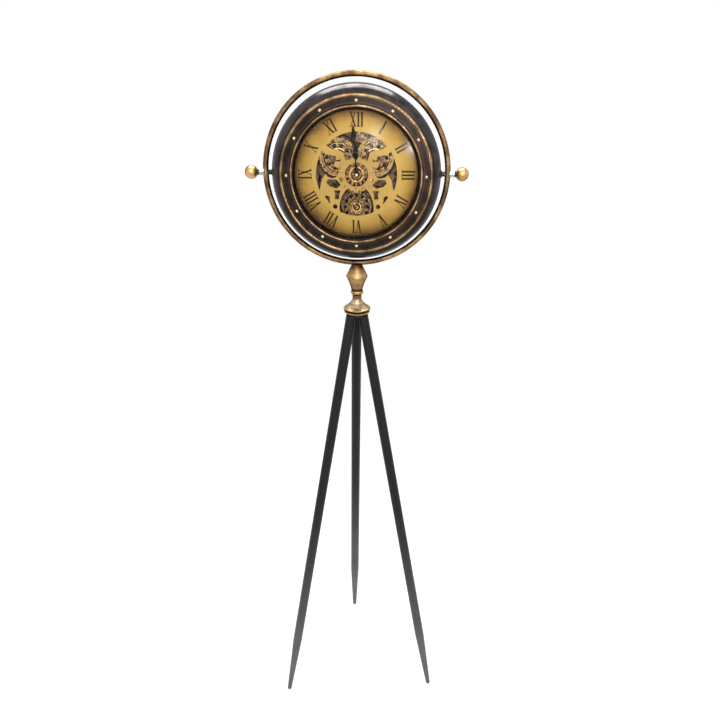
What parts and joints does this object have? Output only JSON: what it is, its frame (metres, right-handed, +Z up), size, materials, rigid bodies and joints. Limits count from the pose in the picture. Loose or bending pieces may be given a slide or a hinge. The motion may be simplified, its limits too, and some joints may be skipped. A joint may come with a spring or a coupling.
{
  "type": "floor clock",
  "caption": "Floor clock on a slender tripod: an openwork dial with a visible gear train, in a round case that tilts between ball knobs inside a ring.",
  "frame": {"origin": "on the floor, under the middle of the footprint box of the whole clock", "axes": "+Z up; the dial faces -Y, so +X is the right-hand side seen from the front; the tilt axis lies along X"},
  "size_m": [0.46, 0.3562, 1.55],
  "materials": {
    "leg_black": "satin black paint over turned wood",
    "hub_black": "satin black enamel",
    "antique_brass": "antique brass, darkened in the hollows",
    "chrome_sleeve": "bright plating",
    "dark_steel": "darkened steel",
    "plain_steel": "plain steel",
    "knob_brass": "antique brass ball",
    "bezel_bronze": "dark bronze finish with rubbed brass edges",
    "drum_bronze": "dark bronze enamel on sheet steel",
    "rivet_brass": "pale brass domes",
    "clear_glass": "clear, slightly domed",
    "inner_ring_black": "matte black",
    "dial_gold": "aged gold dial, darker at the rim",
    "backplate_blued": "dark blued steel",
    "wheel_bronze": "bronze",
    "wheel_gunmetal": "blued gunmetal",
    "wheel_gold": "gilt",
    "movement_black": "moulded black plastic",
    "hand_black": "black",
    "cap_gold": "pale gold cap",
    "cell_shell": "dark sleeve over a steel can"
  },
  "bodies": {
    "stand": {"leg_lower_left": "leg_black", "leg_lower_right": "leg_black", "leg_lower_rear": "leg_black", "leg_upper_left": "leg_black", "leg_upper_right": "leg_black", "leg_upper_rear": "leg_black", "leg_joint_studs": "plain_steel", "leg_hanger_bolts": "plain_steel", "hub_base": "hub_black", "hub_disc": "antique_brass", "bell": "antique_brass", "neck_ring": "antique_brass", "bulb": "antique_brass", "tie_rod": "plain_steel", "ring_frame": "antique_brass", "outer_sleeves": "chrome_sleeve", "inner_sleeves": "dark_steel"},
    "head": {"pivot_studs": "dark_steel", "pivot_bosses": "drum_bronze", "boss_nuts": "plain_steel", "case_drum": "drum_bronze", "bezel": "bezel_bronze", "bezel_rivets": "rivet_brass", "glass": "clear_glass", "dial_spacer": "inner_ring_black", "dial_plate": "dial_gold", "dial_screws": "plain_steel", "back_cover": "drum_bronze", "back_screws": "plain_steel", "gear_backplate": "backplate_blued", "gear_pillars": "plain_steel", "gear_arbors": "plain_steel", "movement_case": "movement_black", "movement_bush": "plain_steel", "movement_nut": "plain_steel", "drive_unit": "movement_black", "power_cells": "cell_shell"},
    "knob_left": {"knob_ball_left": "knob_brass", "knob_collar_left": "hub_black"},
    "knob_right": {"knob_ball_right": "knob_brass", "knob_collar_right": "hub_black"},
    "left_wheel_set": {"left_wheel": "wheel_bronze", "left_pinion": "wheel_gunmetal"},
    "right_wheel_set": {"right_wheel": "wheel_bronze"},
    "drive_pinion_set": {"drive_pinion": "wheel_gunmetal", "drive_shaft": "plain_steel"},
    "centre_wheel_set": {"centre_wheel": "wheel_gold", "centre_rear_wheel": "wheel_gunmetal"},
    "bottom_wheel_set": {"bottom_wheel": "wheel_gunmetal", "bottom_hub": "wheel_gold"},
    "minute_hand_set": {"minute_hand": "hand_black", "minute_arbor": "plain_steel", "hand_cap": "cap_gold"},
    "hour_hand_set": {"hour_hand": "hand_black", "hour_pipe": "plain_steel"},
    "setting_knob": {"setting_wheel": "movement_black"}
  },
  "joints": [
    {"name": "head_tilt", "type": "hinge", "parent": "stand", "child": "head", "pos_m": [0, -0.04883, 1.3575], "axis": [1, 0, 0], "continuous": true},
    {"name": "knob_left_turn", "type": "hinge", "parent": "head", "child": "knob_left", "pos_m": [-0.2164, -0.04883, 1.3575], "axis": [1, 0, 0], "range_deg": [-360, 0]},
    {"name": "knob_right_turn", "type": "hinge", "parent": "head", "child": "knob_right", "pos_m": [0.2164, -0.04883, 1.3575], "axis": [1, 0, 0], "range_deg": [0, 360]},
    {"name": "left_wheel_spin", "type": "hinge", "parent": "head", "child": "left_wheel_set", "pos_m": [-0.0375, -0.04883, 1.38962], "axis": [0, 1, 0], "continuous": true},
    {"name": "right_wheel_spin", "type": "hinge", "parent": "head", "child": "right_wheel_set", "pos_m": [0.0375, -0.04883, 1.38962], "axis": [0, 1, 0], "continuous": true},
    {"name": "drive_pinion_spin", "type": "hinge", "parent": "head", "child": "drive_pinion_set", "pos_m": [0.0101, -0.04883, 1.42994], "axis": [0, 1, 0], "continuous": true},
    {"name": "centre_wheel_spin", "type": "hinge", "parent": "head", "child": "centre_wheel_set", "pos_m": [0, -0.04883, 1.3575], "axis": [0, 1, 0], "continuous": true},
    {"name": "bottom_wheel_spin", "type": "hinge", "parent": "head", "child": "bottom_wheel_set", "pos_m": [0, -0.04883, 1.2925], "axis": [0, 1, 0], "continuous": true},
    {"name": "minute_hand_turn", "type": "hinge", "parent": "head", "child": "minute_hand_set", "pos_m": [0, -0.04883, 1.3575], "axis": [0, 1, 0], "continuous": true},
    {"name": "hour_hand_turn", "type": "hinge", "parent": "head", "child": "hour_hand_set", "pos_m": [0, -0.04883, 1.3575], "axis": [0, 1, 0], "continuous": true},
    {"name": "setting_knob_turn", "type": "hinge", "parent": "head", "child": "setting_knob", "pos_m": [0.014, -0.04883, 1.3695], "axis": [0, 1, 0], "continuous": true}
  ],
  "couplings": [
    {"joint": "right_wheel_spin", "follows": "left_wheel_spin", "ratio": -1},
    {"joint": "drive_pinion_spin", "follows": "left_wheel_spin", "ratio": 3.3333},
    {"joint": "centre_wheel_spin", "follows": "left_wheel_spin", "ratio": -0.41071},
    {"joint": "bottom_wheel_spin", "follows": "left_wheel_spin", "ratio": 0.47917},
    {"joint": "hour_hand_turn", "follows": "minute_hand_turn", "ratio": 0.083333},
    {"joint": "setting_knob_turn", "follows": "minute_hand_turn", "ratio": -3}
  ]
}
